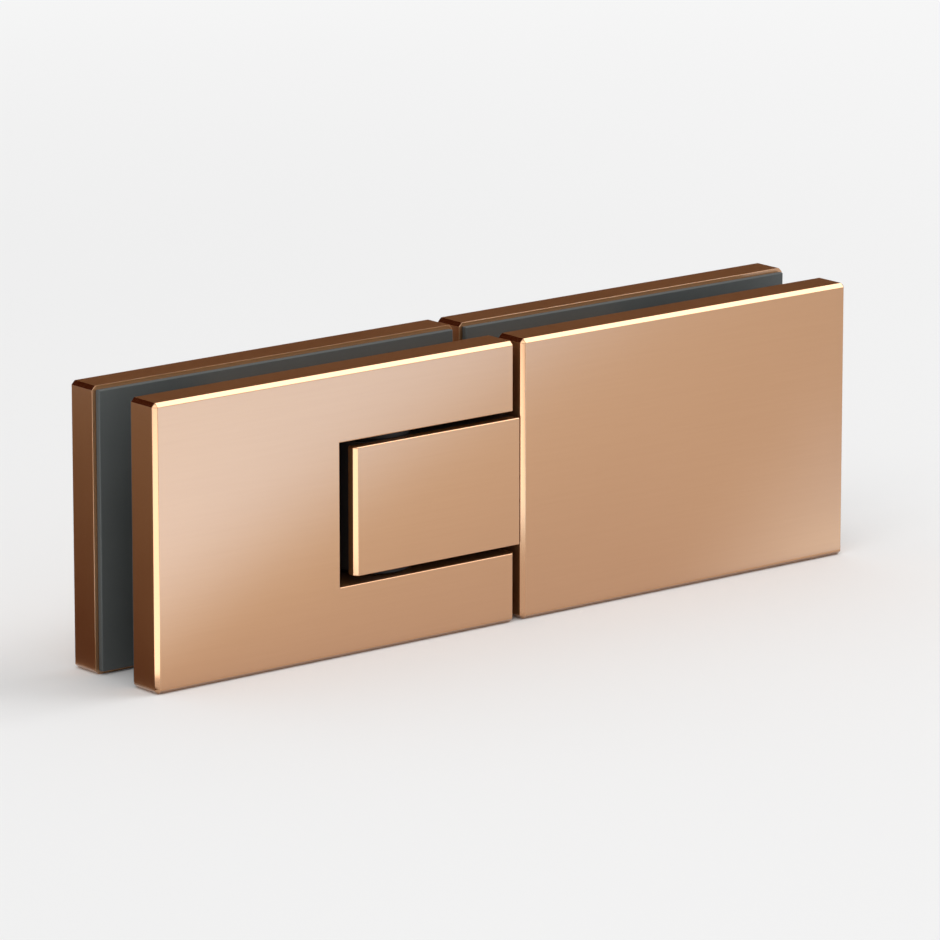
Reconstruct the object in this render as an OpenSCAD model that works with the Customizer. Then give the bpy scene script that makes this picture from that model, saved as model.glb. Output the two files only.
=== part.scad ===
// Lift hinge for a frameless door. The door leaf rises while it swings open.
// X runs from the fixed leaf to the door leaf, Y from the front to the rear, Z up.
// The origin is the centre of the closed hinge.

/* [Leaves] */
// Height of the plates
leaf_h = 46; // [42:0.5:60]
// Width of the fixed leaf
fixed_w = 71.4; // [66:0.1:90]
// Width of the door leaf
door_w = 69.2; // [64:0.1:90]
// Open seam between the two leaves
seam_w = 1.4; // [1.2:0.1:2.5]
// Thickness of each plate
plate_t = 6; // [5.5:0.1:8]
// Bevel on the outer edges of the plates
bevel = 0.5; // [0.2:0.1:0.8]

/* [Slot] */
// Thickness of what the leaves clamp
glass_t = 8; // [8:0.5:10]
// Thickness of each gasket
gasket_t = 1; // [0.5:0.1:1.5]
// Distance of the gasket from the edge of its plate
gasket_inset = 0.6; // [0.3:0.1:2]

/* [Knuckle] */
// Height of the knuckle
knuckle_h = 20.8; // [20:0.1:22]
// Gap above and below the knuckle
knuckle_gap = 1.2; // [0.8:0.1:2]
// Length of the notch in the fixed leaf
notch_len = 35.5; // [33:0.1:40]
// Gap between the free end of the knuckle and the notch
nose_gap = 3; // [2.8:0.1:4]
// Thickness of the knuckle cover
cover_t = 1.8; // [1.4:0.1:2]
// Thickness of the housing's upper and lower wall
wall_t = 2.5; // [2:0.1:2.8]

/* [Pivot] */
// Diameter of the hinge pin
pin_d = 6; // [5:0.1:6.4]
// Depth of the pin's axis behind the front face
pin_depth = 7.6; // [7.4:0.1:7.8]
// Distance of the pin's axis from the knuckle's free end
pin_back = 9.4; // [9.2:0.1:9.8]

/* [Lift] */
// Rise of the door leaf over the whole swing
lift = 5; // [3:0.1:5]
// Swing of the door leaf in degrees
swing = 90; // [80:1:90]
// Number of helical ramps on the cam
ramps = 3; // [3:1:3]
// Diameter of the two guide rods
rod_d = 5; // [4:0.1:5]

/* [Hidden] */
$fn = 96;
// Running clearance of shafts, clearance of screws, and clearance of other moving neighbours
run = 0.04;
loose = 0.03;
free = 0.3;
// Small overlap where two solids are fused or one is cut
eps = 0.5;
// Finer bevel on the knuckle cover and round the notch
fine_bevel = 0.3 * bevel;

// Places along X
total_w = fixed_w + seam_w + door_w;
x_left = -total_w / 2;
x_fixed = x_left + fixed_w;
x_door = x_fixed + seam_w;
x_right = total_w / 2;
x_notch = x_fixed - notch_len;
x_nose = x_notch + nose_gap;
pin_x = x_nose + pin_back;
cover_set = 0.5;
x_cover = x_door - cover_set;

// Places along Y
slot = glass_t + 2 * gasket_t;
y_in = slot / 2;
y_out = y_in + plate_t;
core_y = y_in - free;
pin_y = pin_depth - y_out;
cover_y = cover_t - y_out;

// Places along Z
z_top = leaf_h / 2;
core_rim = 4;
core_z = z_top - core_rim;
notch_z = knuckle_h / 2 + knuckle_gap;
knuckle_z = knuckle_h / 2;
room_z = knuckle_z - wall_t;

// Cores behind the front plates, which reach through the slot
edge_set = 1.2;
core_reach = 15;
prong_reach = 22.2;
core_tail = 11;
fixed_core_x = x_notch - core_reach;
fixed_core_end = x_fixed - edge_set;
prong_end = x_door + prong_reach;
door_core_x = x_door + edge_set;
door_core_end = prong_end + core_tail;
window_end = prong_end + 2 * free;
// Clearance of the gaskets round the cores
core_play = 0.5;

// Clamp screws, with a flush countersunk head and a hexagon socket
screw_d = 5;
head_d = 10;
head_set = 0.2;
socket_d = 3.4;
socket_deep = 2.2;
screw_grip = 1.3;
screw_set = 7.3;
screw_len = y_out + y_in + screw_grip;
fixed_screw_x = fixed_core_x + screw_set;
door_screw_x = (window_end + door_core_end) / 2;
screw_z = 11;

// Room for the swinging end of the knuckle in the rear plate, beside it and behind it
pocket_side = 1;
pocket_deep = 0.4;

// Pin and its keepers
pin_r = pin_d / 2;
pin_flat = 0.75 * pin_r;
pin_cap = 1;
pin_z = core_z - pin_cap;
end_play = 0.1;

// Helical cam: the ramp falls as the angle grows, so a clockwise swing climbs it
cam_t = 2;
cam_r = pin_r + cam_t;
ramp_span = 360 / ramps;
ramp_h = lift * ramp_span / swing;
ramp_phase = 25;
cam_base = 1.6;
cam_crest = 0.2;
cam_play = 0.2;
cam_z = -room_z + cam_play;
ramp_under = 0.4;
ramp_z = cam_z + cam_base;
follow_gap = 0.15;
follow_cut = 2;
follow_turn = 2;
follow_lift = follow_gap + ramp_h * follow_turn / ramp_span;
follower_lip = 0.2;
follower_r = cam_r + free + follower_lip;
follower_roof = 1.5;
follower_z = ramp_z + ramp_h + follow_lift + follower_roof;
arm_h = 6.5;
arm_z = follower_z - arm_h;
// The arm's rear face and its end past the seam, then the play of the block on the rods and
// how far it stands out of the door's core
arm_back = 0.6;
arm_end = 3;
block_play = 0.1;
block_set = 1;

// Knuckle housing
nose_play = 0.5;
nose_r = y_in - pin_y - nose_play;
wall_step = 0.5;
bush_t = 1.5;
bush_r = pin_r + bush_t;
flange_rim = 1.5;
flange_r = bush_r + flange_rim;
flange_play = 0.2;
flange_t = knuckle_gap - flange_play;
web_t = 3.4;
web_gap = 2;
prong_play = 0.5;
prong_y = y_in - prong_play;
prong_root = 4;
prong_z = arm_z - free;
stud_set = 6;
stud_x = x_cover - stud_set;
stud_z = 5;
stud_r = 1.5;

// Guide rods in the door leaf
rod_r = rod_d / 2;
rod_near = 6.7;
rod_rim = 5;
rod_x = [x_door + rod_near, prong_end - rod_rim];
rod_cap = 2;
rod_play = 0.2;
rod_z = core_z - rod_cap;
sleeve_t = 1;
sleeve_r = rod_r + sleeve_t;
window_top = knuckle_z + 2 * free;
window_bottom = -knuckle_z - lift - 2 * free;
set_r = 1.5;
set_play = 0.1;
set_socket_d = 1.7;
set_socket_deep = 1;
set_z = [(window_top + core_z) / 2, follower_z - arm_h / 2];

// Colours
rose_gold = [0.77, 0.60, 0.46];
black = [0.10, 0.10, 0.11];
steel = [0.66, 0.67, 0.69];
grey_rubber = [0.24, 0.25, 0.25];
polymer = [0.14, 0.14, 0.15];
bronze = [0.62, 0.46, 0.26];

// Box between two corners
module block(lo, hi) {
    translate(lo)
        cube(hi - lo);
}

// Flat plate whose outer face is at y_face and inner face at y_back, bevelled round the outer face
module plate(x0, x1, z0, z1, y_face, y_back, b) {
    y_edge = y_face + sign(y_back - y_face) * b;
    intersection() {
        translate([x0, 0, 0])
            rotate([90, 0, 90])
                linear_extrude(x1 - x0)
                    polygon([
                        [y_face, z0 + b], [y_face, z1 - b], [y_edge, z1],
                        [y_back, z1], [y_back, z0], [y_edge, z0]
                    ]);
        translate([0, 0, z0])
            linear_extrude(z1 - z0)
                polygon([
                    [x0 + b, y_face], [x1 - b, y_face], [x1, y_edge],
                    [x1, y_back], [x0, y_back], [x0, y_edge]
                ]);
    }
}

// Round bar along Z
module upright(x, y, r, z0, z1) {
    translate([x, y, z0])
        cylinder(r = r, h = z1 - z0);
}

// Countersunk screw along Y, head to the rear, with c of extra size where it is used as a cutter
module clamp_screw(x, z, c) {
    r = screw_d / 2 + c;
    head_r = head_d / 2 + c;
    translate([x, y_out - head_set + c, z])
        rotate([90, 0, 0]) {
            cylinder(r1 = head_r, r2 = r, h = head_r - r);
            cylinder(r = r, h = screw_len + 2 * c);
        }
}

// Two clamp screws above each other
module clamp_screws(x) {
    color(steel)
        for (side = [-1, 1])
            difference() {
                clamp_screw(x, side * screw_z, 0);
                translate([x, y_out, side * screw_z])
                    rotate([90, 0, 0])
                        cylinder(d = socket_d, h = socket_deep, $fn = 6);
            }
}

// Holes for two clamp screws, open to the rear face
module clamp_holes(x) {
    for (side = [-1, 1]) {
        clamp_screw(x, side * screw_z, loose);
        translate([x, y_out + eps, side * screw_z])
            rotate([90, 0, 0])
                cylinder(r = head_d / 2 + loose, h = head_set + eps - loose);
    }
}

// Gasket sheet from y0 on, open where the core passes through it
module gasket(x0, x1, core0, core1, y0) {
    color(grey_rubber)
        difference() {
            block(
                [x0 + gasket_inset, y0, -z_top + gasket_inset],
                [x1 - gasket_inset, y0 + gasket_t, z_top - gasket_inset]
            );
            block(
                [core0, y0 - eps, -core_z - core_play],
                [core1, y0 + gasket_t + eps, core_z + core_play]
            );
        }
}

// One helical wedge: from r0 to r1, from z0 up to a ramp that falls by ramp_h over ramp_span.
// Its low end runs on by one degree into the next wedge.
module ramp_wedge(r0, r1, z0, z1) {
    steps = 40;
    turns = concat([for (i = [0:steps]) ramp_span * i / steps], [ramp_span + 1]);
    last = 4 * (len(turns) - 1);
    points = [
        for (a = turns)
            let (z = z1 - ramp_h * min(a / ramp_span, 1))
                each [
                    [r0 * cos(a), r0 * sin(a), z0], [r0 * cos(a), r0 * sin(a), z],
                    [r1 * cos(a), r1 * sin(a), z], [r1 * cos(a), r1 * sin(a), z0]
                ]
    ];
    sides = [
        for (i = [0:4:last - 4])
            for (k = [0:3])
                let (a = i + k, b = i + (k + 1) % 4)
                    each [[a, a + 4, b + 4], [a, b + 4, b]]
    ];
    polyhedron(points, concat([[0, 1, 2], [0, 2, 3]], sides,
        [[last, last + 2, last + 1], [last, last + 3, last + 2]]));
}

// Everything below the ramps round the pin, from z0 up to ramps whose top is at z1
module below_ramps(r1, z0, z1) {
    translate([pin_x, pin_y, 0])
        for (i = [0:ramps - 1])
            rotate(ramp_phase + i * ramp_span)
                ramp_wedge(pin_r - ramp_under, r1, z0, z1);
}

// Everything above the cam's ramps round the pin, up to z1
module above_ramps(r1, z1) {
    translate([pin_x, pin_y, 0])
        for (i = [1:ramps])
            rotate(ramp_phase + i * ramp_span)
                rotate([180, 0, 0])
                    ramp_wedge(pin_r - ramp_under, r1, -z1, -ramp_z);
}

// Seat of the pin in one ear, open to the rear
module pin_seat(side) {
    z0 = min(side * pin_z, side * (notch_z - eps));
    z1 = max(side * pin_z, side * (notch_z - eps));
    upright(pin_x, pin_y, pin_r + run, z0, z1);
    block([pin_x - pin_r - run, pin_y, z0], [pin_x + pin_r + run, core_y + eps, z1]);
}

// Front plate of the fixed leaf with its C-shaped core
module fixed_front_leaf() {
    color(rose_gold)
        difference() {
            union() {
                plate(x_left, x_fixed, -z_top, z_top, -y_out, -y_in, bevel);
                block([fixed_core_x, -y_in - eps, -core_z], [fixed_core_end, core_y, core_z]);
            }
            block([x_notch, -y_out - eps, -notch_z], [x_fixed + eps, core_y + eps, notch_z]);
            block([x_notch - free, -y_in, -notch_z], [x_fixed, core_y + eps, notch_z]);
            notch_bevel();
            pin_seat(1);
            pin_seat(-1);
            clamp_holes(fixed_screw_x);
        }
}

// Bevel along the three front edges of the notch
module notch_bevel() {
    b = fine_bevel;
    translate([x_notch - b, 0, 0])
        rotate([90, 0, 90])
            linear_extrude(notch_len + b + eps)
                polygon([
                    [-y_out - eps, -notch_z - b - eps], [-y_out + b, -notch_z],
                    [-y_out + b, notch_z], [-y_out - eps, notch_z + b + eps]
                ]);
}

// Rear plate of the fixed leaf, with a shallow pocket where the knuckle's free end swings past
module fixed_rear_plate() {
    color(rose_gold)
        difference() {
            plate(x_left, x_fixed, -z_top, z_top, y_out, y_in, bevel);
            block(
                [pin_x - pin_back - pocket_side, y_in - eps, -notch_z],
                [pin_x - pin_depth + cover_t + pocket_side, pin_y + pin_back + pocket_deep, notch_z]
            );
            clamp_holes(fixed_screw_x);
        }
}

module fixed_front_gasket() {
    gasket(x_left, x_fixed, fixed_core_x - core_play, x_fixed, -y_in);
}

module fixed_rear_gasket() {
    gasket(x_left, x_fixed, fixed_core_x - core_play, x_fixed, y_in - gasket_t);
}

module fixed_clamp_screws() {
    clamp_screws(fixed_screw_x);
}

// Hinge pin with a flat at each end that keeps it from turning
module hinge_pin() {
    color(steel)
        difference() {
            upright(pin_x, pin_y, pin_r, -pin_z + end_play, pin_z - end_play);
            for (side = [-1, 1])
                translate([pin_x, pin_y + pin_flat + pin_r, side * (notch_z + pin_z) / 2])
                    cube([2 * pin_d, 2 * pin_r, pin_z - notch_z], center = true);
        }
}

// Block that closes one pin seat and lies against the pin's flat
module pin_keeper(side) {
    z0 = notch_z + end_play;
    z1 = pin_z - end_play;
    color(bronze)
        translate([pin_x, (pin_y + pin_flat + loose + core_y) / 2, side * (z0 + z1) / 2])
            cube([pin_d, core_y - pin_y - pin_flat - loose, z1 - z0], center = true);
}

module upper_pin_keeper() {
    pin_keeper(1);
}

module lower_pin_keeper() {
    pin_keeper(-1);
}

// Cam ring with helical ramps that end in narrow flat crests, fixed on the pin
module lift_cam() {
    color(steel)
        difference() {
            upright(pin_x, pin_y, cam_r, cam_z, ramp_z + ramp_h - cam_crest);
            above_ramps(cam_r + 2 * eps, ramp_z + ramp_h + eps);
            upright(pin_x, pin_y, pin_r + loose, cam_z - eps, ramp_z + ramp_h + eps);
        }
}

// Outline of the housing's upper and lower wall, seen from above
module wall_outline() {
    intersection() {
        union() {
            translate([pin_x, pin_y])
                circle(nose_r);
            translate([pin_x, cover_y])
                square([x_cover - free - pin_x, pin_y + nose_r - wall_step - cover_y]);
        }
        translate([pin_x - 2 * nose_r, cover_y])
            square([total_w, 4 * nose_r]);
    }
}

// Left half of a ring that joins the two walls round the cam
module nose_wall() {
    intersection() {
        translate([0, 0, -knuckle_z])
            linear_extrude(knuckle_h)
                wall_outline();
        difference() {
            block(
                [pin_x - 2 * nose_r, cover_y, -knuckle_z],
                [pin_x, pin_y + 2 * nose_r, knuckle_z]
            );
            upright(pin_x, pin_y, follower_r + free, -knuckle_h, knuckle_h);
        }
    }
}

// Knuckle housing with two walls, a nose, a front web and two prongs
module knuckle_housing() {
    color(black)
        difference() {
            union() {
                for (z = [-knuckle_z, knuckle_z - wall_t])
                    translate([0, 0, z])
                        linear_extrude(wall_t)
                            wall_outline();
                nose_wall();
                block(
                    [pin_x + follower_r + web_gap, cover_y, -knuckle_z],
                    [x_cover - free, cover_y + web_t, knuckle_z]
                );
                block([x_cover - prong_root, -prong_y, -knuckle_z], [prong_end, prong_y, prong_z]);
                block([x_cover - prong_root, -prong_y, room_z], [prong_end, prong_y, knuckle_z]);
            }
            upright(pin_x, pin_y, bush_r, -knuckle_z - eps, -room_z + eps);
            upright(pin_x, pin_y, bush_r, room_z - eps, knuckle_z + eps);
            for (x = rod_x)
                upright(x, 0, sleeve_r, -knuckle_h, knuckle_h);
            cover_studs(loose);
        }
}

// Two studs on the back of the cover, with c of extra radius where they are used as cutters
module cover_studs(c) {
    for (side = [-1, 1])
        translate([stud_x, cover_y + web_t, side * stud_z])
            rotate([90, 0, 0])
                cylinder(r = stud_r + c, h = web_t + eps);
}

// Knuckle cover, the flat plate in the notch
module knuckle_cover() {
    color(rose_gold)
        union() {
            plate(x_nose, x_cover, -knuckle_z, knuckle_z, -y_out, cover_y, fine_bevel);
            cover_studs(0);
        }
}

// Flanged bush on the pin, its flange in the gap between the knuckle and the ear
module flanged_bush() {
    color(polymer)
        translate([pin_x, pin_y, 0])
            rotate_extrude()
                polygon([
                    [pin_r + run, room_z], [bush_r - loose, room_z], [bush_r - loose, knuckle_z],
                    [flange_r, knuckle_z], [flange_r, knuckle_z + flange_t],
                    [pin_r + run, knuckle_z + flange_t]
                ]);
}

module upper_bush() {
    flanged_bush();
}

module lower_bush() {
    mirror([0, 0, 1])
        flanged_bush();
}

// Plain sleeves round the two guide rods
module guide_sleeves(z0, z1) {
    color(bronze)
        for (x = rod_x)
            difference() {
                upright(x, 0, sleeve_r - loose, z0, z1);
                upright(x, 0, rod_r + run, z0 - eps, z1 + eps);
            }
}

module upper_guide_bushes() {
    guide_sleeves(room_z, knuckle_z);
}

module lower_guide_bushes() {
    guide_sleeves(-knuckle_z, prong_z);
}

// Front plate of the door leaf with its C-shaped core, which is open to the knuckle
module door_front_leaf() {
    color(rose_gold)
        difference() {
            union() {
                plate(x_door, x_right, -z_top, z_top, -y_out, -y_in, bevel);
                block([door_core_x, -y_in - eps, -core_z], [door_core_end, core_y, core_z]);
            }
            block([x_door - eps, -y_in, window_bottom], [window_end, core_y + eps, window_top]);
            for (x = rod_x) {
                upright(x, 0, rod_r + loose, -core_z - eps, rod_z);
                set_screw(x, set_z[0], core_y + eps, set_r + loose);
            }
            clamp_holes(door_screw_x);
        }
}

module door_rear_plate() {
    color(rose_gold)
        difference() {
            plate(x_door, x_right, -z_top, z_top, y_out, y_in, bevel);
            clamp_holes(door_screw_x);
        }
}

module door_front_gasket() {
    gasket(x_door, x_right, x_door, door_core_end + core_play, -y_in);
}

module door_rear_gasket() {
    gasket(x_door, x_right, x_door, door_core_end + core_play, y_in - gasket_t);
}

module door_clamp_screws() {
    clamp_screws(door_screw_x);
}

// Follower: a ring with helical teeth over the cam, an arm beside the pin and a block on the rods
module lift_follower() {
    block_y = prong_y - block_play;
    color(steel)
        difference() {
            union() {
                difference() {
                    upright(pin_x, pin_y, follower_r, ramp_z + free, follower_z);
                    rotate_about_pin(-follow_turn)
                        below_ramps(
                            follower_r + 2 * eps, ramp_z - follow_cut,
                            ramp_z + ramp_h + follow_lift
                        );
                }
                difference() {
                    union() {
                        block([pin_x, free - y_in, arm_z], [x_door + arm_end, arm_back, follower_z]);
                        block(
                            [door_core_x - block_set, -block_y, arm_z],
                            [prong_end, block_y, follower_z]
                        );
                    }
                    upright(pin_x, pin_y, cam_r + free, arm_z - eps, follower_z + eps);
                }
            }
            upright(pin_x, pin_y, pin_r + run, ramp_z - eps, follower_z + eps);
            for (x = rod_x) {
                upright(x, 0, rod_r + loose, arm_z - eps, follower_z + eps);
                set_screw(x, set_z[1], block_y + eps, set_r + loose);
            }
        }
}

// Turn about the pin's axis
module rotate_about_pin(angle) {
    translate([pin_x, pin_y, 0])
        rotate(angle)
            translate([-pin_x, -pin_y, 0])
                children();
}

// Set screw along Y from the rod's surface to y1
module set_screw(x, z, y1, r) {
    translate([x, y1, z])
        rotate([90, 0, 0])
            cylinder(r = r, h = y1 - rod_r + 2 * loose);
}

// Round rod that guides the door leaf on the knuckle
module guide_rod(x) {
    color(steel)
        upright(x, 0, rod_r, -core_z + rod_play, rod_z - rod_play);
}

module inner_guide_rod() {
    guide_rod(rod_x[0]);
}

module outer_guide_rod() {
    guide_rod(rod_x[1]);
}

// Set screws that hold the rods in the door leaf and the follower on the rods
module guide_set_screws() {
    ends = [core_y - set_play, prong_y - block_play - set_play];
    color(steel)
        for (x = rod_x)
            for (i = [0, 1])
                difference() {
                    translate([x, ends[i], set_z[i]])
                        rotate([90, 0, 0])
                            cylinder(r = set_r, h = ends[i] - rod_r - 2 * loose);
                    translate([x, ends[i] + eps, set_z[i]])
                        rotate([90, 0, 0])
                            cylinder(d = set_socket_d, h = set_socket_deep + eps, $fn = 6);
                }
}

fixed_front_leaf();
fixed_rear_plate();
fixed_front_gasket();
fixed_rear_gasket();
fixed_clamp_screws();
hinge_pin();
upper_pin_keeper();
lower_pin_keeper();
lift_cam();
knuckle_housing();
knuckle_cover();
upper_bush();
lower_bush();
upper_guide_bushes();
lower_guide_bushes();
door_front_leaf();
door_rear_plate();
door_front_gasket();
door_rear_gasket();
door_clamp_screws();
lift_follower();
inner_guide_rod();
outer_guide_rod();
guide_set_screws();
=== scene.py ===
# %% [markdown]
# # Lift hinge for a frameless door
# Two thick flat leaves are joined by a square knuckle, which lies flush in one of them and
# carries the pin. The forms are plain, so this lesson is about edges, finish and light: a plate
# only looks real when its edges are broken and when its metal has something to reflect.
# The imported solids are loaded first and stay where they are. Everything else is fitted to them.

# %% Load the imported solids
import math

import bmesh
import bpy
from mathutils import Matrix, Vector


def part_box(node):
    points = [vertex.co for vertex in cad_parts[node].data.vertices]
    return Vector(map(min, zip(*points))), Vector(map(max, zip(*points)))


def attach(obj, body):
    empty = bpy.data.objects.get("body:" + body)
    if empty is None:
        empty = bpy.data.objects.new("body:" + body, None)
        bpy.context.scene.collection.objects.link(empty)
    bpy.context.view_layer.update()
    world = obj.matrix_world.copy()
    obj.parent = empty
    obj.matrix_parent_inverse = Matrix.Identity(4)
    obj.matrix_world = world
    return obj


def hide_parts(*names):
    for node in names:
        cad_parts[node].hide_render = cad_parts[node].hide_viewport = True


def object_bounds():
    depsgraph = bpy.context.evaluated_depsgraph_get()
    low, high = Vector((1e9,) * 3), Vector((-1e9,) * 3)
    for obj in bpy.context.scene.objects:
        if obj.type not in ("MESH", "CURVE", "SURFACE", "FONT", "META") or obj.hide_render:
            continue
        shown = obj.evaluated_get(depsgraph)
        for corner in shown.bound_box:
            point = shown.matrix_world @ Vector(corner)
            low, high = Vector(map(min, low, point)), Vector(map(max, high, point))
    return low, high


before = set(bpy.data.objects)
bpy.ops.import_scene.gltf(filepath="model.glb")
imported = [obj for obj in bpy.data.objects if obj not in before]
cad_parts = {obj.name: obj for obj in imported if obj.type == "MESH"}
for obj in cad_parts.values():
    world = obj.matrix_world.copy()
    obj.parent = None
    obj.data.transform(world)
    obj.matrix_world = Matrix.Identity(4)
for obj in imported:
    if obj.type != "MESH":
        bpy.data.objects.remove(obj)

MM = 0.001
cad_box = [[float(value) for value in corner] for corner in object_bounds()]
print("solids:", len(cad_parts), "box in mm:",
      [[round(value / MM, 2) for value in corner] for corner in cad_box])

# %% [markdown]
# ## The view
# The photograph looks at the front from the left and a little from above, through a long lens.
# A camera is easiest to place on a sphere round the hinge: two angles, a distance, and a turn
# towards the middle. The long lens keeps the edges of the plates nearly parallel.

# %% Camera
VIEW_TURN = math.radians(39.2)
VIEW_RISE = math.radians(13.4)
VIEW_DISTANCE = 1.13
VIEW_LENS = 270

camera_data = bpy.data.cameras.new("studio_camera")
camera_data.lens = VIEW_LENS
camera = bpy.data.objects.new("studio_camera", camera_data)
camera.location = VIEW_DISTANCE * Vector((
    -math.sin(VIEW_TURN) * math.cos(VIEW_RISE),
    -math.cos(VIEW_TURN) * math.cos(VIEW_RISE),
    math.sin(VIEW_RISE),
))
camera.rotation_euler = (-camera.location).to_track_quat("-Z", "Y").to_euler()
bpy.context.collection.objects.link(camera)
bpy.context.scene.camera = camera
bpy.context.scene.view_settings.view_transform = "Standard"
print("camera at", [round(value, 3) for value in camera.location])

# %% [markdown]
# ## Shader expressions
# A finish is mostly arithmetic on noise: a base value plus a little grain and a little smudge.
# Adding every node by hand hides that sum, so a small class wraps a socket and lets Python's
# own operators add the Math nodes. Any other node comes from its one method.

# %% A socket that can be added and multiplied
class Wire:
    """One socket of a node tree. Arithmetic on it adds Math nodes."""

    def __init__(self, tree, socket=None):
        self.tree = tree
        self.socket = socket

    def node(self, kind, settings=None, inputs=None, output=0):
        """Adds a node: its settings first, then the values or links of its sockets."""
        made = self.tree.nodes.new(kind)
        for key, value in (settings or {}).items():
            setattr(made, key, value)
        for key, value in (inputs or {}).items():
            if isinstance(value, Wire):
                self.tree.links.new(value.socket, made.inputs[key])
            else:
                made.inputs[key].default_value = value
        return Wire(self.tree, made.outputs[output])

    def calculate(self, operation, first, second):
        return self.node("ShaderNodeMath", {"operation": operation}, {0: first, 1: second})

    def __add__(self, other):
        return self.calculate("ADD", self, other)

    __radd__ = __add__

    def __sub__(self, other):
        return self.calculate("SUBTRACT", self, other)

    def __rsub__(self, other):
        return self.calculate("SUBTRACT", other, self)

    def __mul__(self, other):
        return self.calculate("MULTIPLY", self, other)

    __rmul__ = __mul__


def new_finish(name, constants):
    """A material with a Principled shader. Values that are the same all over are set on it."""
    material = bpy.data.materials.new(name)
    material.use_nodes = True
    shader = material.node_tree.nodes["Principled BSDF"]
    for socket, value in constants.items():
        shader.inputs[socket].default_value = value
    return material, shader, Wire(material.node_tree)


def feed(shader, varying):
    """Links values that change over the surface to the shader."""
    for socket, wire in varying.items():
        wire.tree.links.new(wire.socket, shader.inputs[socket])


def cloud(wire, place, scale, detail=3.0, stretch=(1, 1, 1)):
    """Noise from 0 to 1 on the piece's own coordinates. Scale counts patches in a metre."""
    spread = wire.node("ShaderNodeMapping", {}, {
        "Vector": place, "Scale": tuple(scale * part for part in stretch)})
    return wire.node("ShaderNodeTexNoise", {}, {
        "Vector": spread, "Scale": 1.0, "Detail": detail, "Roughness": 0.55})


def colour_mix(wire, factor, first, second):
    """A colour between two colours. The colour sockets of a Mix node are 6 and 7."""
    return wire.node("ShaderNodeMix", {"data_type": "RGBA"}, {
        0: factor, 6: (*first, 1), 7: (*second, 1)}, 2)


def dents(wire, height, depth):
    """Small bumps on the surface, in metres."""
    return wire.node("ShaderNodeBump", {}, {
        "Strength": 1.0, "Distance": depth, "Height": height})


print("shader helpers are ready")

# %% [markdown]
# ## Rose gold
# The leaves are brass, plated in rose gold and brushed to a satin that is hardly visible. Satin
# metal is a rough mirror, so its colour comes from the metal and its brightness from the room.
# A long thin noise gives the brushing, a broad one the faint clouds of a plated surface, and a
# thin clear coat the whitish sheen on top. The buffed edges are the same metal, only smoother.

# %% Satin faces and buffed edges
ROSE_DEEP = (0.485, 0.240, 0.098)
ROSE_PALE = (0.515, 0.262, 0.114)
CLEAR_COAT = {"Coat Weight": 1.0, "Coat Roughness": 0.14, "Coat IOR": 1.8}
HAIR_SCALE = 2600
ALONG_X = (0.03, 1, 1)
PLATING_SCALE = 42
HAIR_DEPTH = 0.015 * MM


def rose_gold(name, roughness, brushing):
    """Plated rose gold with fine brushing along X."""
    material, shader, wire = new_finish(name, {"Metallic": 1.0, **CLEAR_COAT})
    place = wire.node("ShaderNodeTexCoord", output="Object")
    hairs = cloud(wire, place, HAIR_SCALE, 2.0, ALONG_X)
    clouds = cloud(wire, place, PLATING_SCALE, 4.0)
    feed(shader, {
        "Base Color": colour_mix(wire, clouds, ROSE_DEEP, ROSE_PALE),
        "Roughness": roughness + brushing * (hairs - 0.5) + 0.06 * (clouds - 0.5),
        "Normal": dents(wire, hairs, HAIR_DEPTH * brushing),
    })
    return material


satin_rose = rose_gold("satin_rose_gold", roughness=0.50, brushing=0.10)
buffed_rose = rose_gold("buffed_rose_gold", roughness=0.18, brushing=0.03)
ROSE = (satin_rose, buffed_rose)
SATIN, BUFFED = 0, 1
print("made", satin_rose.name, "and", buffed_rose.name)

# %% [markdown]
# ## The other finishes
# Between the plates lie sheets of dark grey rubber, matt and faintly powdery. The knuckle's
# casting has a black powder coat with a fine orange-peel. The pin, rods and screws are steel
# with turned lines round them, and the sleeves are bearing bronze and black bearing polymer.
# Each needs only one or two noises at the scale of the real marks.

# %% Rubber, powder coat and polymer
PATCH_SCALE = 60
PATCH_LIGHTER = 1.35


def matt_finish(name, colour, roughness, grain, depth):
    """A matt surface with a fine grain, for rubber, powder coat and polymer."""
    material, shader, wire = new_finish(name, {"Metallic": 0.0})
    place = wire.node("ShaderNodeTexCoord", output="Object")
    fine = cloud(wire, place, grain, 3.0)
    broad = cloud(wire, place, PATCH_SCALE, 3.0)
    lighter = tuple(PATCH_LIGHTER * part for part in colour)
    feed(shader, {
        "Base Color": colour_mix(wire, broad, colour, lighter),
        "Roughness": roughness + 0.12 * (fine - 0.5) + 0.10 * (broad - 0.5),
        "Normal": dents(wire, fine, depth),
    })
    return material


grey_rubber = matt_finish("grey_rubber", (0.066, 0.073, 0.072), 0.62, 2400, 0.012 * MM)
black_coat = matt_finish("black_powder_coat", (0.010, 0.010, 0.011), 0.48, 1500, 0.015 * MM)
black_polymer = matt_finish("black_polymer", (0.010, 0.010, 0.011), 0.75, 900, 0.006 * MM)
print("matt finishes:", [m.name for m in (grey_rubber, black_coat, black_polymer)])

# %% Turned steel and bronze
LINE_SCALE = 5200
LINE_DEPTH = 0.0008 * MM
STAIN_SCALE = 180
STAIN_DARKER = 0.90
ROUND_Z = (0.02, 0.02, 1)
NO_LINES = (0.3, 0.3, 0.3)


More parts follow.
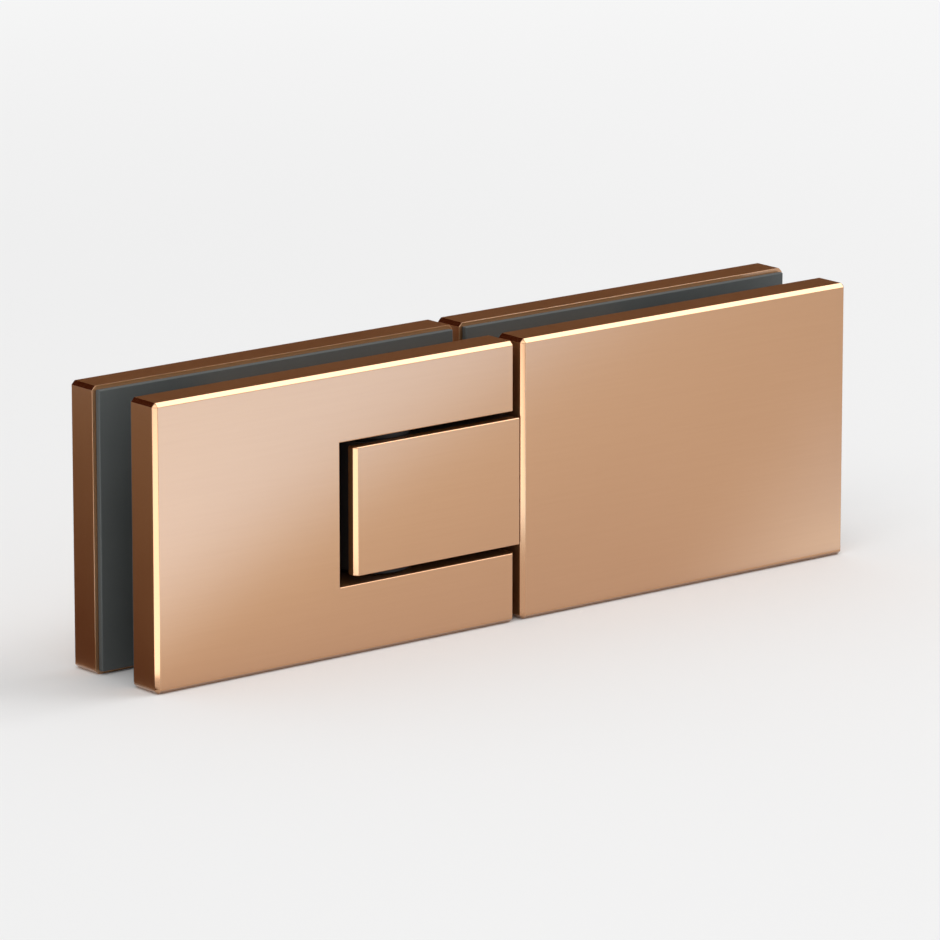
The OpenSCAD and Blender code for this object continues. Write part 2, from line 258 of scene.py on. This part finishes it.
def turned_metal(name, colour, roughness, stretch):
    """Bare metal from the lathe. The stretch lays its lines across the axis of the piece."""
    material, shader, wire = new_finish(name, {"Metallic": 1.0})
    place = wire.node("ShaderNodeTexCoord", output="Object")
    lines = cloud(wire, place, LINE_SCALE, 2.0, stretch)
    stain = cloud(wire, place, STAIN_SCALE, 4.0)
    darker = tuple(STAIN_DARKER * part for part in colour)
    feed(shader, {
        "Base Color": colour_mix(wire, stain, darker, colour),
        "Roughness": roughness + 0.10 * (lines - 0.5) + 0.06 * (stain - 0.5),
        "Normal": dents(wire, lines, LINE_DEPTH),
    })
    return material


bright_steel = turned_metal("turned_steel", (0.60, 0.61, 0.62), 0.26, ROUND_Z)
screw_steel = turned_metal("screw_steel", (0.56, 0.57, 0.58), 0.30, NO_LINES)
bearing_bronze = turned_metal("bearing_bronze", (0.45, 0.27, 0.12), 0.34, ROUND_Z)
print("metals:", [m.name for m in (bright_steel, screw_steel, bearing_bronze)])

# %% [markdown]
# ## Floor and light
# The hinge stands on a pale floor under soft boxes. The floor fades with distance into the pale
# room, so that no horizon shows. Light Path tells the rays that show the room from those that
# light the hinge, and the room may be brighter for the first than for the second.

# %% Pale floor and pale room
FLOOR_HALF = 4
FLOOR_GREYS = ((0.84, 0.84, 0.84), (0.87, 0.87, 0.87))
FADE_FROM, FADE_TO = 0.22, 0.8
ROOM_LIGHT = 0.72
ROOM_SEEN = 0.95

floor_level = cad_box[0][2]
floor_mesh = bpy.data.meshes.new("studio_floor")
sheet = bmesh.new()
bmesh.ops.create_grid(sheet, x_segments=1, y_segments=1, size=FLOOR_HALF,
                      matrix=Matrix.Translation((0, 0, floor_level)))
sheet.to_mesh(floor_mesh)
sheet.free()
floor = bpy.data.objects.new("studio_floor", floor_mesh)
bpy.context.collection.objects.link(floor)


def looked_at(wire):
    """1 for a ray that shows the room, to the camera, in a reflection or through something clear."""
    camera_ray, glossy_ray, clear_ray = (
        wire.node("ShaderNodeLightPath", output=f"Is {ray} Ray")
        for ray in ("Camera", "Glossy", "Transmission"))
    return wire.node("ShaderNodeClamp", {}, {"Value": camera_ray + glossy_ray + clear_ray})


floor_paint, floor_shader, wire = new_finish("floor_paint", {
    "Roughness": 1.0, "Specular IOR Level": 0.0})
place = wire.node("ShaderNodeTexCoord", output="Object")
feed(floor_shader, {"Base Color": colour_mix(wire, cloud(wire, place, 3), *FLOOR_GREYS)})
away = wire.node("ShaderNodeVectorMath", {"operation": "LENGTH"}, {0: place}, "Value")
far = wire.node("ShaderNodeMapRange", {"interpolation_type": "SMOOTHSTEP"}, {
    "Value": away, "From Min": FADE_FROM, "From Max": FADE_TO})
glow = wire.node("ShaderNodeEmission", {}, {"Color": (1, 1, 1, 1), "Strength": ROOM_SEEN})
feed(wire.tree.nodes["Material Output"], {"Surface": wire.node("ShaderNodeMixShader", {}, {
    0: far * looked_at(wire), 1: Wire(wire.tree, floor_shader.outputs[0]), 2: glow})})
floor_mesh.materials.append(floor_paint)

world = bpy.data.worlds.new("pale_room")
bpy.context.scene.world = world
world.use_nodes = True
backdrop = world.node_tree.nodes["Background"]
backdrop.inputs["Color"].default_value = (1, 1, 1, 1)
feed(backdrop, {"Strength": ROOM_LIGHT
                + (ROOM_SEEN - ROOM_LIGHT) * looked_at(Wire(world.node_tree))})
print("floor at", round(floor_level / MM, 2), "mm")

# %% Soft boxes
def softbox(name, place, size, power):
    """A square lamp that looks at the hinge."""
    lamp = bpy.data.lights.new(name, "AREA")
    lamp.size = size
    lamp.energy = power
    box = bpy.data.objects.new(name, lamp)
    box.location = place
    box.rotation_euler = (-Vector(place)).to_track_quat("-Z", "Y").to_euler()
    bpy.context.collection.objects.link(box)


softbox("right_softbox", place=(1.16, -0.44, 1.44), size=1.1, power=11.0)
softbox("left_softbox", place=(-1.20, -0.80, 1.50), size=1.2, power=7.0)

# %% [markdown]
# ## Cards round the hinge
# Metal shows the room, so the room matters more than the lamps. The top and left sides of the
# plates look dark: three glowing brown cards paint this shade into their reflections, so it is
# painted shade. A bright glowing card before the hinge paints the bevels' bright lines, and a
# painted one the slanting sheen on the front faces: painted highlights. Reflections alone see
# these cards, as flags and bounce cards outside the picture are used in a studio.

# %% Cards that only reflections see
def mirror_card(name, corners, glow, colour=(1.0, 1.0, 1.0), pattern=None):
    """A flat card that only reflections see. A glow of 1 shows its colour as it is.
    Light that has already left the floor passes through it, so that it lights nothing."""
    card_mesh = bpy.data.meshes.new(name)
    flat = bmesh.new()
    flat.faces.new([flat.verts.new(corner) for corner in corners])
    flat.to_mesh(card_mesh)
    flat.free()
    card = bpy.data.objects.new(name, card_mesh)
    bpy.context.collection.objects.link(card)
    paint, shader, wire = new_finish(name + "_paint", {
        "Base Color": (0, 0, 0, 1), "Specular IOR Level": 0.0, "Roughness": 1.0,
        "Emission Color": (*colour, 1), "Emission Strength": glow})
    if pattern:
        feed(shader, {"Emission Color": pattern(wire)})
    bounced = wire.node("ShaderNodeLightPath", output="Diffuse Depth")
    clear = wire.node("ShaderNodeBsdfTransparent")
    card_or_clear = wire.node("ShaderNodeMixShader", {}, {
        0: bounced, 1: Wire(wire.tree, shader.outputs[0]), 2: clear})
    feed(wire.tree.nodes["Material Output"], {"Surface": card_or_clear})
    card_mesh.materials.append(paint)
    card.visible_camera = card.visible_diffuse = card.visible_shadow = False
    card.visible_transmission = card.visible_volume_scatter = False


def on_floor(height, *corners):
    """Points in mm over the floor, at a height in mm above it."""
    return [(x * MM, y * MM, floor_level + height * MM) for x, y in corners]


def standing(start, end, height):
    """Corners of an upright card over a line on the floor, in metres."""
    return [(*start, floor_level), (*end, floor_level), (*end, height), (*start, height)]


print("card tools are ready")

# %% Dark flags and a bright card for the bevels
PAINTED_SHADE_BROWN = (0.090, 0.024, 0.010)
EDGE_GLOW = 3.0
CARD_HEIGHT = 0.4
LEFT_FLAG = ((-230, -12), (-72, -12), (-72, 190), (-230, 190))
EDGE_BOUNCE = ((-24, -40), (-80, -40), (-76, -13), (-115, -13), (-275, -150), (-159, -150))

# Three brown cards that glow and only reflections see: painted shade on the top and left sides of
# the plates.
mirror_card("rear_flag", standing((-0.8, 0.9), (2.6, 0.9), 2.0), 0.8, PAINTED_SHADE_BROWN)
mirror_card("corner_flag", standing((-0.95, 0.25), (-0.3, 0.9), 0.6), 1.0, PAINTED_SHADE_BROWN)
mirror_card("left_flag", on_floor(CARD_HEIGHT, *LEFT_FLAG), 1.0, PAINTED_SHADE_BROWN)
# A bright glowing card that only reflections see: painted highlights along the bevels.
mirror_card("edge_bounce", on_floor(CARD_HEIGHT, *EDGE_BOUNCE), EDGE_GLOW)

# %% Painted card before the front faces
PLAIN_GREY = (0.273, 0.260, 0.256)
COOL_WHITE = (0.66, 0.85, 1.0)
FRONT_GLOW = 3.37
FRONT_HEIGHT = 0.6
FRONT_BOUNCE = ((-80, -12), (80, -12), (274, -250), (40, -250))
BAND_X, BAND_Y, BAND_START = -0.549, -0.836, 67.1 * MM
BAND_FROM, BAND_TO = -20 * MM, 17 * MM
CORNER_Y, CORNER_START = 1.215, 13.4 * MM
CORNER_FROM, CORNER_TO = 24 * MM, 80 * MM
CORNER_SHARE = 0.42


def front_pattern(wire):
    """Plain grey with a bright band behind a slanting line, and a glow at the right end.
    The front faces mirror the card, so the band's soft edge becomes a slanting sheen."""
    place = wire.node("ShaderNodeTexCoord", output="Object")
    x = wire.node("ShaderNodeSeparateXYZ", {}, {0: place}, "X")
    y = wire.node("ShaderNodeSeparateXYZ", {}, {0: place}, "Y")
    past_line = BAND_X * x + BAND_Y * y - BAND_START
    to_corner = x + CORNER_Y * y + CORNER_START
    band = wire.node("ShaderNodeMapRange", {"interpolation_type": "SMOOTHSTEP"}, {
        "Value": past_line, "From Min": BAND_FROM, "From Max": BAND_TO})
    corner = wire.node("ShaderNodeMapRange", {"interpolation_type": "SMOOTHSTEP"}, {
        "Value": to_corner, "From Min": CORNER_FROM, "From Max": CORNER_TO,
        "To Max": CORNER_SHARE})
    return colour_mix(wire, band + corner, PLAIN_GREY, COOL_WHITE)


mirror_card("front_bounce", on_floor(FRONT_HEIGHT, *FRONT_BOUNCE), FRONT_GLOW,
            pattern=front_pattern)
print("painted card: front_bounce")

# %% [markdown]
# ## How a plate is made
# Nearly all that shows of this hinge is plates: an outline, pulled out to its thickness, with a
# flat bevel round the outer face. One outline face and two operators, extrude and bevel, do it.
# The bevels get the buffed finish, because a polisher's wheel wears edges most. A bevel modifier
# then rounds every edge that is left by a hair, and weighted normals keep the big faces flat
# right up to it.

# %% Tools for plates
HAIR = 0.08 * MM
HAIR_STEPS = 2
SHARP = math.radians(35)
TOUCH = 0.001 * MM


def pull_outline(bm, outline, y_from, y_to):
    """A face with this outline in X and Z, extruded along Y."""
    sheet = bm.faces.new([bm.verts.new((x, y_from, z)) for x, z in outline])
    pulled = bmesh.ops.extrude_face_region(bm, geom=[sheet])["geom"]
    moved = [item for item in pulled if isinstance(item, bmesh.types.BMVert)]
    bmesh.ops.translate(bm, verts=moved, vec=(0, y_to - y_from, 0))
    solid = {face for vert in moved for face in vert.link_faces} | {sheet}
    bmesh.ops.recalc_face_normals(bm, faces=list(solid))


def rectangle(x0, x1, z0, z1):
    return [(x0, z0), (x1, z0), (x1, z1), (x0, z1)]


def edges_where(bm, test):
    """Edges whose two ends both pass the test."""
    return [edge for edge in bm.edges if all(test(vert.co) for vert in edge.verts)]


def near(first, second):
    return abs(first - second) < TOUCH


def all_but_level(bm, y):
    """Edges that don't lie in the plane at this y."""
    return [edge for edge in bm.edges if not all(near(vert.co.y, y) for vert in edge.verts)]


def break_edges(bm, edges, width, steps=1, finish=BUFFED):
    """Bevels these edges, flat for one step and round for more, with their own finish."""
    made = bmesh.ops.bevel(bm, geom=edges, offset=width, offset_type="OFFSET", segments=steps,
                           profile=0.5, affect="EDGES", clamp_overlap=True, material=-1)
    for face in made["faces"]:
        face.material_index = finish


def keep_piece(name, bm, body, slot, finishes, *stands_for):
    """Makes a piece from the bmesh, lets it ride on its body and hides what it stands for."""
    mesh = bpy.data.meshes.new(name)
    bm.to_mesh(mesh)
    bm.free()
    for finish in finishes:
        mesh.materials.append(finish)
    mesh.shade_smooth()
    piece = bpy.data.objects.new(name, mesh)
    bpy.context.collection.objects.link(piece)
    soft = piece.modifiers.new("soft_edges", "BEVEL")
    soft.width = HAIR
    soft.segments = HAIR_STEPS
    soft.limit_method = "ANGLE"
    soft.angle_limit = SHARP
    weighted = piece.modifiers.new("flat_faces", "WEIGHTED_NORMAL")
    weighted.keep_sharp = True
    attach(piece, body)
    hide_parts(*stands_for)
    size = [round(value / MM, 2) for value in piece.dimensions]
    print(name, "stands for", stands_for, "size in mm", size, "faces", len(mesh.polygons))
    return piece


print("plate tools are ready")

# %% [markdown]
# ## Front leaf with the notch
# The fixed leaf is a 6 mm plate with a square notch for the knuckle. Behind it, a C-shaped core
# reaches to the rear plate and carries the pin. The outline with its notch has eight
# corners, so it is one face. Its outer edges have a bevel of 0.65 mm and the edges of the notch
# a finer one, as on a real plate, where the notch is milled after the outer edges. The core is
# a second closed shell in the same mesh, whose root lies inside the plate.

# %% Places read from the solids
NOSE_GAP = 3.0 * MM
KNUCKLE_GAP = 1.2 * MM
CORE_RIM = 4.0 * MM
CORE_REACH = 15.0 * MM
CORE_SET = 1.2 * MM
CORE_ROOT = 0.5 * MM

leaf_low, leaf_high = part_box("fixed_front_leaf")
cover_low, cover_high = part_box("knuckle_cover")
door_low, door_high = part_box("door_front_leaf")
FRONT = leaf_low[1]
PLATE_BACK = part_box("fixed_front_gasket")[0][1]
CORE_BACK = leaf_high[1]
TOP = leaf_high[2]
NOTCH_LEFT = cover_low[0] - NOSE_GAP
NOTCH_TOP = cover_high[2] + KNUCKLE_GAP
CORE_TOP = TOP - CORE_RIM
CORE_LEFT = NOTCH_LEFT - CORE_REACH
CORE_RIGHT = leaf_high[0] - CORE_SET
ROOT = PLATE_BACK - CORE_ROOT
print("notch in mm:", round(NOTCH_LEFT / MM, 2), round(NOTCH_TOP / MM, 2))

# %% Outlines and cores
CORE_EDGE = 0.4 * MM
ROUND_STEPS = 3


def notched(x0, x1, z0, x_notch, z_notch):
    """Outline of a plate from x0 to x1 that is open on the x1 side."""
    return [(x0, -z0), (x1, -z0), (x1, -z_notch), (x_notch, -z_notch),
            (x_notch, z_notch), (x1, z_notch), (x1, z0), (x0, z0)]


def add_core(bm, outline):
    """Adds a core with this outline behind a front plate, its rear edges rounded."""
    core = bmesh.new()
    pull_outline(core, outline, ROOT, CORE_BACK)
    rear_edges = edges_where(core, lambda co: near(co.y, CORE_BACK))
    break_edges(core, rear_edges, CORE_EDGE, ROUND_STEPS)
    core_mesh = bpy.data.meshes.new("core")
    core.to_mesh(core_mesh)
    core.free()
    bm.from_mesh(core_mesh)
    bpy.data.meshes.remove(core_mesh)


print("a core reaches from", round(ROOT / MM, 2), "to", round(CORE_BACK / MM, 2), "mm")

# %% Fixed front leaf
EDGE = 0.65 * MM
NOTCH_EDGE = 0.15 * MM
NOTCH_PLAY = 0.3 * MM


def in_notch(edge):
    middle = (edge.verts[0].co + edge.verts[1].co) / 2
    return abs(middle.z) < NOTCH_TOP + TOUCH and middle.x > NOTCH_LEFT - TOUCH


def on_front(co):
    return near(co.y, FRONT)


bm = bmesh.new()
outline = notched(leaf_low[0], leaf_high[0], TOP, NOTCH_LEFT, NOTCH_TOP)
pull_outline(bm, outline, PLATE_BACK, FRONT)
upright_edges = [edge for edge in bm.edges
                 if not near(edge.verts[0].co.y, edge.verts[1].co.y) and not in_notch(edge)]
outer_edges = [edge for edge in edges_where(bm, on_front) if not in_notch(edge)]
break_edges(bm, outer_edges + upright_edges, EDGE)
break_edges(bm, [edge for edge in edges_where(bm, on_front) if in_notch(edge)], NOTCH_EDGE)
add_core(bm, notched(CORE_LEFT, CORE_RIGHT, CORE_TOP, NOTCH_LEFT - NOTCH_PLAY, NOTCH_TOP))
keep_piece("fixed_front", bm, "fixed_leaf", "rose_gold", ROSE, "fixed_front_leaf")

# %% [markdown]
# ## Front leaf of the door
# The door's leaf is the same plate without a notch. Its core is open towards the knuckle and to
# the rear, because the knuckle's two prongs slide in it when the door rises.

# %% Door front leaf
WINDOW_RIGHT = 24.6 * MM
WINDOW_TOP = 11.0 * MM
WINDOW_BOTTOM = -16.0 * MM
DOOR_CORE_LEFT = door_low[0] + CORE_SET
DOOR_CORE_RIGHT = 35.0 * MM

bm = bmesh.new()
pull_outline(bm, rectangle(door_low[0], door_high[0], -TOP, TOP), PLATE_BACK, FRONT)
break_edges(bm, all_but_level(bm, PLATE_BACK), EDGE)
add_core(bm, [
    (DOOR_CORE_LEFT, -CORE_TOP), (DOOR_CORE_RIGHT, -CORE_TOP), (DOOR_CORE_RIGHT, CORE_TOP),
    (DOOR_CORE_LEFT, CORE_TOP), (DOOR_CORE_LEFT, WINDOW_TOP), (WINDOW_RIGHT, WINDOW_TOP),
    (WINDOW_RIGHT, WINDOW_BOTTOM), (DOOR_CORE_LEFT, WINDOW_BOTTOM)])
keep_piece("door_front", bm, "door_leaf", "rose_gold", ROSE, "door_front_leaf")

# %% [markdown]
# ## Knuckle cover
# A thin plate closes the knuckle and lies flush with the leaves. It is made like them, with a
# fine bevel, and a wider one at its free end that gives the bright line beside the dark gap. Two
# studs on its back hold it in the casting, and their ends show when the door stands open. A stud
# is a ring of edges that is pulled along Y and closed at both ends, and the screws and their
# holes are made from the same two tools.

# %% Tools for round shapes
AROUND = 64
FACING_REAR = Matrix.Rotation(math.radians(-90), 4, "X")


def ring(bm, x, y, z, radius, count=AROUND):
    """Edges of a circle that faces the rear."""
    made = bmesh.ops.create_circle(
        bm, cap_ends=False, radius=radius, segments=count,
        matrix=Matrix.Translation((x, y, z)) @ FACING_REAR)["verts"]
    return list({edge for vert in made for edge in vert.link_edges})


def pull_ring(bm, edges, shift, grow, centre):
    """Extrudes a ring along Y and scales it about its centre. Returns the new ring."""
    made = bmesh.ops.extrude_edge_only(bm, edges=edges)["geom"]
    verts = [item for item in made if isinstance(item, bmesh.types.BMVert)]
    bmesh.ops.translate(bm, verts=verts, vec=(0, shift, 0))
    bmesh.ops.scale(bm, verts=verts, vec=(grow, 1, grow),
                    space=Matrix.Translation((-centre[0], 0, -centre[1])))
    return [item for item in made if isinstance(item, bmesh.types.BMEdge)]


print("a ring has", AROUND, "edges")

# %% Knuckle cover
COVER_BACK = FRONT + 1.8 * MM
STUD_RADIUS = 1.5 * MM
STUD_X = cover_high[0] - 6.0 * MM
STUD_HEIGHT = 5.0 * MM
STUD_ROOT = COVER_BACK - 0.3 * MM
FREE_END_EDGE = 0.6 * MM
SQUARE = math.radians(60)

bm = bmesh.new()
outline = rectangle(cover_low[0], cover_high[0], cover_low[2], cover_high[2])
pull_outline(bm, outline, COVER_BACK, FRONT)
free_end = edges_where(bm, lambda co: near(co.x, cover_low[0]) and on_front(co))
break_edges(bm, free_end, FREE_END_EDGE)
square_edges = [edge for edge in all_but_level(bm, COVER_BACK) if edge.calc_face_angle(0) > SQUARE]
break_edges(bm, square_edges, NOTCH_EDGE)
for z in (-STUD_HEIGHT, STUD_HEIGHT):
    root = ring(bm, STUD_X, STUD_ROOT, z, STUD_RADIUS)
    tip = pull_ring(bm, root, cover_high[1] - STUD_ROOT, 1, (STUD_X, z))
    bmesh.ops.edgeloop_fill(bm, edges=root)
    bmesh.ops.edgeloop_fill(bm, edges=tip)
bmesh.ops.recalc_face_normals(bm, faces=bm.faces[:])
keep_piece("knuckle_front", bm, "knuckle", "rose_gold", ROSE, "knuckle_cover")

# %% [markdown]
# ## Rear plates
# The plates at the rear are plain, with two countersunk holes each. A round hole in a flat
# face needs a ring of edges: the face is inset, its middle is taken out, circles are laid in the
# opening and the rest is filled again. The circles are then pulled inwards for the countersink.
# The fixed plate has a shallow pocket where the knuckle's free end swings past it.

# %% Tools for holes and pockets
HEAD_RADIUS = 5.0 * MM
SHANK_RADIUS = 2.5 * MM
CONE_DEPTH = HEAD_RADIUS - SHANK_RADIUS
CONE_SHARE = SHANK_RADIUS / HEAD_RADIUS
SCREW_HEIGHT = 11.0 * MM
HEAD_SET = 0.2 * MM
HOLE_PLAY = 0.03 * MM
HOLE_FLOOR = 0.1 * MM
FRAME_WIDTH = 2 * MM
POCKET_DEPTH = 1.4 * MM


def fill_between(bm, edges, normal_y):
    """Fills a flat face between its border and the loops in it."""
    bmesh.ops.triangle_fill(bm, use_beauty=True, use_dissolve=False, normal=(0, normal_y, 0),
                            edges=edges)


def countersink(bm, loop, x, z, depth):
    """Pulls a ring in for a countersunk head and its shank, to this depth."""
    loop = pull_ring(bm, loop, -HEAD_SET, 1, (x, z))
    loop = pull_ring(bm, loop, -CONE_DEPTH, CONE_SHARE, (x, z))
    loop = pull_ring(bm, loop, HEAD_SET + CONE_DEPTH - depth, 1, (x, z))
    bmesh.ops.edgeloop_fill(bm, edges=loop)


def sink_pocket(bm, corners, y):
    """Cuts a shallow pocket with these corners into the inner face of a plate."""
    inner = min(bm.faces, key=lambda face: (round(face.calc_center_median().y, 6),
                                            -face.calc_area()))
    border = list(inner.edges)
    bmesh.ops.delete(bm, geom=[inner], context="FACES_ONLY")
    rim = [bm.verts.new((x, y, z)) for x, z in corners]
    loop = [bm.edges.new(pair) for pair in zip(rim, rim[1:] + rim[:1])]
    fill_between(bm, border + loop, -1)
    loop = pull_ring(bm, loop, POCKET_DEPTH, 1, (0, 0))
    bmesh.ops.edgeloop_fill(bm, edges=loop)


print("countersink depth in mm:", round((HEAD_SET + CONE_DEPTH) / MM, 2))

# %% Rear plates
FIXED_SCREW = CORE_LEFT + 7.3 * MM
DOOR_SCREW = (WINDOW_RIGHT + DOOR_CORE_RIGHT) / 2
POCKET_LEFT = cover_low[0] - 1.0 * MM
POCKET_RIGHT = cover_low[0] + 4.6 * MM


def rear_plate(name, node, body, screw_x, pocket=None):
    """Plate with two countersunk holes, and a pocket in its inner face if one is given."""
    low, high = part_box(node)
    bm = bmesh.new()
    pull_outline(bm, rectangle(low[0], high[0], low[2], high[2]), low[1], high[1])
    break_edges(bm, all_but_level(bm, low[1]), EDGE)
    rear = max(bm.faces, key=lambda face: (round(face.calc_center_median().y, 6),
                                           face.calc_area()))
    bmesh.ops.inset_region(bm, faces=[rear], thickness=FRAME_WIDTH, depth=0)
    border = list(rear.edges)
    bmesh.ops.delete(bm, geom=[rear], context="FACES_ONLY")
    loops = {z: ring(bm, screw_x, high[1], z, HEAD_RADIUS + HOLE_PLAY)
             for z in (-SCREW_HEIGHT, SCREW_HEIGHT)}
    fill_between(bm, border + [edge for loop in loops.values() for edge in loop], 1)
    for z, loop in loops.items():
        countersink(bm, loop, screw_x, z, high[1] - low[1] - HOLE_FLOOR)
    if pocket:
        sink_pocket(bm, pocket, low[1])
    bmesh.ops.recalc_face_normals(bm, faces=bm.faces[:])
    keep_piece(name, bm, body, "rose_gold", ROSE, node)


pocket = rectangle(POCKET_LEFT, POCKET_RIGHT, -NOTCH_TOP, NOTCH_TOP)
rear_plate("fixed_rear", "fixed_rear_plate", "fixed_leaf", FIXED_SCREW, pocket)
rear_plate("door_rear", "door_rear_plate", "door_leaf", DOOR_SCREW)

# %% [markdown]
# ## Clamp screws
# Countersunk screws with a hexagon socket hold the rear plates. The head is a ring between a
# circle and a hexagon. The hexagon is pulled in for the socket, the circle for the cone and the
# shank, and a hair of rounding on both rims catches the light.

# %% Clamp screws
SOCKET_RADIUS = 1.7 * MM
SOCKET_DEPTH = 2.2 * MM
DRILL_POINT = 0.4 * MM
HEAD_RIM = 0.25 * MM
RIM_EDGE = 0.12 * MM
RIM_ANGLE = math.radians(40)
SCREW_LENGTH = 17.3 * MM


def clamp_screws(name, node, body, screw_x):
    """Two countersunk screws above each other, their heads to the rear."""
    face_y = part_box(node)[1][1]
    bm = bmesh.new()
    for z in (-SCREW_HEIGHT, SCREW_HEIGHT):
        centre = (screw_x, z)
        rim = ring(bm, screw_x, face_y, z, HEAD_RADIUS)
        socket = ring(bm, screw_x, face_y, z, SOCKET_RADIUS, 6)
        fill_between(bm, rim + socket, 1)
        socket_end = pull_ring(bm, socket, -SOCKET_DEPTH, 1, centre)
        bottom = bmesh.ops.edgeloop_fill(bm, edges=socket_end)["faces"]
        bmesh.ops.poke(bm, faces=bottom, offset=-DRILL_POINT)
        loop = pull_ring(bm, rim, -HEAD_RIM, 1, centre)
        loop = pull_ring(bm, loop, HEAD_RIM - CONE_DEPTH, CONE_SHARE, centre)
        loop = pull_ring(bm, loop, CONE_DEPTH - SCREW_LENGTH, 1, centre)
        bmesh.ops.edgeloop_fill(bm, edges=loop)
    bmesh.ops.recalc_face_normals(bm, faces=bm.faces[:])
    rims = [edge for edge in edges_where(bm, lambda co: near(co.y, face_y))
            if edge.calc_face_angle(0) > RIM_ANGLE]
    break_edges(bm, rims, RIM_EDGE, ROUND_STEPS, SATIN)
    keep_piece(name, bm, body, "steel", (screw_steel,), node)


clamp_screws("fixed_screws", "fixed_clamp_screws", "fixed_leaf", FIXED_SCREW)
clamp_screws("door_screws", "door_clamp_screws", "door_leaf", DOOR_SCREW)

# %% [markdown]
# ## Gaskets
# A sheet of rubber lies on the inside of every plate, a little smaller than the plate and cut
# out round the core. It is one C-shaped outline with softly rounded edges.

# %% Gasket sheets
PAD_EDGE = 0.22 * MM
CORE_PLAY = 0.5 * MM


def gasket(name, node, body, core_end, open_side):
    """C-shaped sheet, open on the right for 1 and on the left for -1."""
    low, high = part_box(node)
    near_end, far_end = (low[0], high[0]) if open_side > 0 else (high[0], low[0])
    bm = bmesh.new()
    outline = notched(near_end, far_end, high[2], core_end, CORE_TOP + CORE_PLAY)
    pull_outline(bm, outline, low[1], high[1])
    break_edges(bm, bm.edges[:], PAD_EDGE, ROUND_STEPS, SATIN)
    keep_piece(name, bm, body, "gasket", (grey_rubber,), node)


for side in ("front", "rear"):
    gasket(f"fixed_{side}_pad", f"fixed_{side}_gasket", "fixed_leaf", CORE_LEFT - CORE_PLAY, 1)
    gasket(f"door_{side}_pad", f"door_{side}_gasket", "door_leaf", DOOR_CORE_RIGHT + CORE_PLAY, -1)

# %% [markdown]
# ## Casting, cam and follower
# When the door stands open, the black casting of the knuckle shows, with the helical cam on the
# pin and the follower that rides up on it. Their shapes are already in the solids, so a copy of
# each mesh is merged. On the casting and the polymer flanges, the flat triangles are joined to
# whole faces again, and a bevel modifier softens their edges and keeps the normals of the faces
# beside it. The cam and the follower are milled steel with crisp edges. There only the shading
# is made smooth, so that the fine facets of their round faces can't be seen.

# %% Copies of the moving parts with better edges
CRISP = math.radians(25)
LEVEL = math.radians(0.5)
CASTING_EDGE = 0.25 * MM
FLANGE_EDGE = 0.12 * MM


def refined(name, node, body, slot, finish, width=None):
    """A merged copy that stands for its solid, with edges of this width or crisp ones."""
    bm = bmesh.new()
    bm.from_mesh(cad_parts[node].data)
    bmesh.ops.remove_doubles(bm, verts=bm.verts[:], dist=TOUCH)
    for face in bm.faces:
        face.material_index = 0
    if width:
        bmesh.ops.dissolve_limit(bm, angle_limit=LEVEL, use_dissolve_boundaries=False,
                                 verts=bm.verts[:], edges=bm.edges[:])
    piece = keep_piece(name, bm, body, slot, (finish,), node)
    piece.data.set_sharp_from_angle(angle=CRISP)
    piece.modifiers.remove(piece.modifiers["flat_faces"])
    soft = piece.modifiers["soft_edges"]
    if width:
        soft.width = width
        soft.harden_normals = True
    else:
        piece.modifiers.remove(soft)


refined("knuckle_casting", "knuckle_housing", "knuckle", "black_metal", black_coat, CASTING_EDGE)
refined("upper_flange", "upper_bush", "knuckle", "polymer", black_polymer, FLANGE_EDGE)
refined("lower_flange", "lower_bush", "knuckle", "polymer", black_polymer, FLANGE_EDGE)
refined("follower_arm", "lift_follower", "door_leaf", "steel", bright_steel)
refined("cam_ring", "lift_cam", "fixed_leaf", "steel", bright_steel)

# %% [markdown]
# ## Finishes for the solids that stay
# The pin, rods, sleeves and keepers are plain turned or cut pieces, nearly all hidden, so they
# keep their meshes and only get a finish.

# %% Finish the solids that stay
STAYING = {
    bright_steel: ("hinge_pin", "inner_guide_rod", "outer_guide_rod", "guide_set_screws"),
    bearing_bronze: ("upper_pin_keeper", "lower_pin_keeper", "upper_guide_bushes",
                     "lower_guide_bushes"),
}
for finish, names in STAYING.items():
    for name in names:
        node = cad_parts[name]
        if not node.material_slots:
            node.data.materials.append(finish)
        for held in node.material_slots:
            held.material = finish
    print(finish.name, "on", names)
